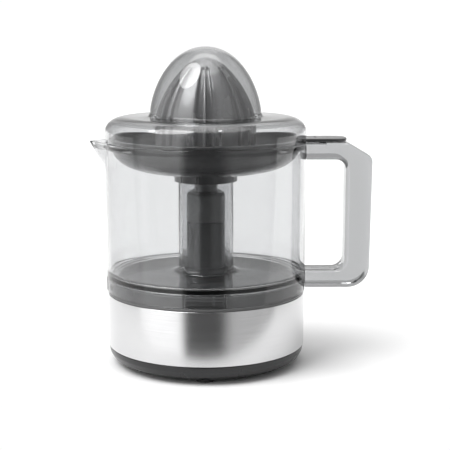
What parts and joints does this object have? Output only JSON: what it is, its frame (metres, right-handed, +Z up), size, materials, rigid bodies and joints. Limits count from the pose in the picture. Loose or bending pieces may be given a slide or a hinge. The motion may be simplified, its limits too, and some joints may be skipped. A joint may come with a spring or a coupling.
{
  "type": "citrus press juicer",
  "caption": "Electric citrus press: a clear spouted jug and handle stand on a round motor base, with a sieve bowl, ribbed cone and domed dust cover on top.",
  "frame": {"origin": "on the ground, below the middle of the whole object's length and width; the base's own axis is at X = -19.25 mm", "axes": "+Z up, +X towards the handle, -X towards the spout, -Y towards the front"},
  "size_m": [0.2198, 0.1564, 0.2473],
  "materials": {
    "clear_plastic": "clear moulded SAN plastic, lightly smoked",
    "smoked_plastic": "dark grey moulded plastic, glossy",
    "black_plastic": "black moulded plastic, satin gloss",
    "brushed_steel": "stainless sheet, brushed round the body",
    "plain_steel": "plain steel",
    "rubber": "soft black rubber",
    "white_nylon": "moulded nylon",
    "sintered_bronze": "sintered bronze",
    "copper_coil": "enamelled copper winding",
    "ferrite_magnet": "ferrite magnet",
    "switch_red": "switch case moulding"
  },
  "bodies": {
    "base": {"base_housing": "black_plastic", "bottom_plate": "black_plastic", "cord_grommet": "rubber", "foot_1": "rubber", "foot_2": "rubber", "foot_3": "rubber", "foot_4": "rubber", "gear_plate": "plain_steel", "gear_plate_screw_1": "plain_steel", "gear_plate_screw_2": "plain_steel", "gear_plate_screw_3": "plain_steel", "idler_axle": "plain_steel", "lower_bush": "sintered_bronze", "micro_switch": "switch_red", "motor_case": "plain_steel", "motor_coil": "copper_coil", "motor_cover": "plain_steel", "motor_screw_1": "plain_steel", "motor_screw_2": "plain_steel", "plate_screw_1": "plain_steel", "plate_screw_2": "plain_steel", "plate_screw_3": "plain_steel", "plate_screw_4": "plain_steel", "steel_band": "brushed_steel", "switch_bracket": "plain_steel", "tower_cap": "black_plastic", "upper_bush": "sintered_bronze", "return_spring": "plain_steel"},
    "switch_plunger": {"switch_plunger": "white_nylon"},
    "drive_shaft": {"drive_shaft": "plain_steel", "output_gear": "white_nylon", "drive_head": "white_nylon"},
    "idler": {"idler_gear": "white_nylon"},
    "rotor": {"motor_rotor": "ferrite_magnet", "motor_shaft": "plain_steel", "motor_pinion": "white_nylon"},
    "switch_lever": {"switch_lever": "plain_steel"},
    "jug": {"jug": "clear_plastic", "jug_floor": "clear_plastic", "jug_handle": "clear_plastic"},
    "strainer": {"strainer": "smoked_plastic", "clip_ring": "smoked_plastic"},
    "small_cone": {"small_cone": "smoked_plastic"},
    "large_cone": {"large_cone": "smoked_plastic"},
    "dust_cover": {"dust_cover": "clear_plastic"}
  },
  "joints": [
    {"name": "shaft_press", "type": "slide", "parent": "base", "child": "switch_plunger", "axis": [0, 0, 1], "range_m": [-0.002, 0], "stiffness_N_per_m": 4000, "springref_m": 0.001, "deforming": ["return_spring"]},
    {"name": "shaft_spin", "type": "hinge", "parent": "switch_plunger", "child": "drive_shaft", "pos_m": [-0.01925, 0, 0.1], "axis": [0, 0, 1], "continuous": true},
    {"name": "idler_spin", "type": "hinge", "parent": "base", "child": "idler", "pos_m": [-0.04956, 0.0175, 0.042], "axis": [0, 0, 1], "continuous": true},
    {"name": "rotor_spin", "type": "hinge", "parent": "base", "child": "rotor", "pos_m": [-0.06319, -0.00225, 0.0167], "axis": [0, 0, 1], "continuous": true},
    {"name": "lever_tilt", "type": "hinge", "parent": "base", "child": "switch_lever", "pos_m": [0.00855, 0, 0.0321], "axis": [0, 1, 0], "range_deg": [-6.41, 0.3]},
    {"name": "jug_lift", "type": "slide", "parent": "base", "child": "jug", "axis": [0, 0, 1], "range_m": [0, 0.15]},
    {"name": "strainer_lift", "type": "slide", "parent": "jug", "child": "strainer", "axis": [0, 0, 1], "range_m": [0, 0.06]},
    {"name": "cone_spin", "type": "hinge", "parent": "strainer", "child": "small_cone", "pos_m": [-0.01925, 0, 0.17], "axis": [0, 0, 1], "continuous": true},
    {"name": "large_cone_lift", "type": "slide", "parent": "small_cone", "child": "large_cone", "axis": [0, 0, 1], "range_m": [0, 0.006]},
    {"name": "cover_lift", "type": "slide", "parent": "strainer", "child": "dust_cover", "axis": [0, 0, 1], "range_m": [0, 0.09]}
  ],
  "couplings": [
    {"joint": "idler_spin", "follows": "shaft_spin", "ratio": -3},
    {"joint": "rotor_spin", "follows": "shaft_spin", "ratio": 9},
    {"joint": "cone_spin", "follows": "shaft_spin", "ratio": 1},
    {"joint": "lever_tilt", "follows": "shaft_press", "rad_per_m": 53.292}
  ]
}
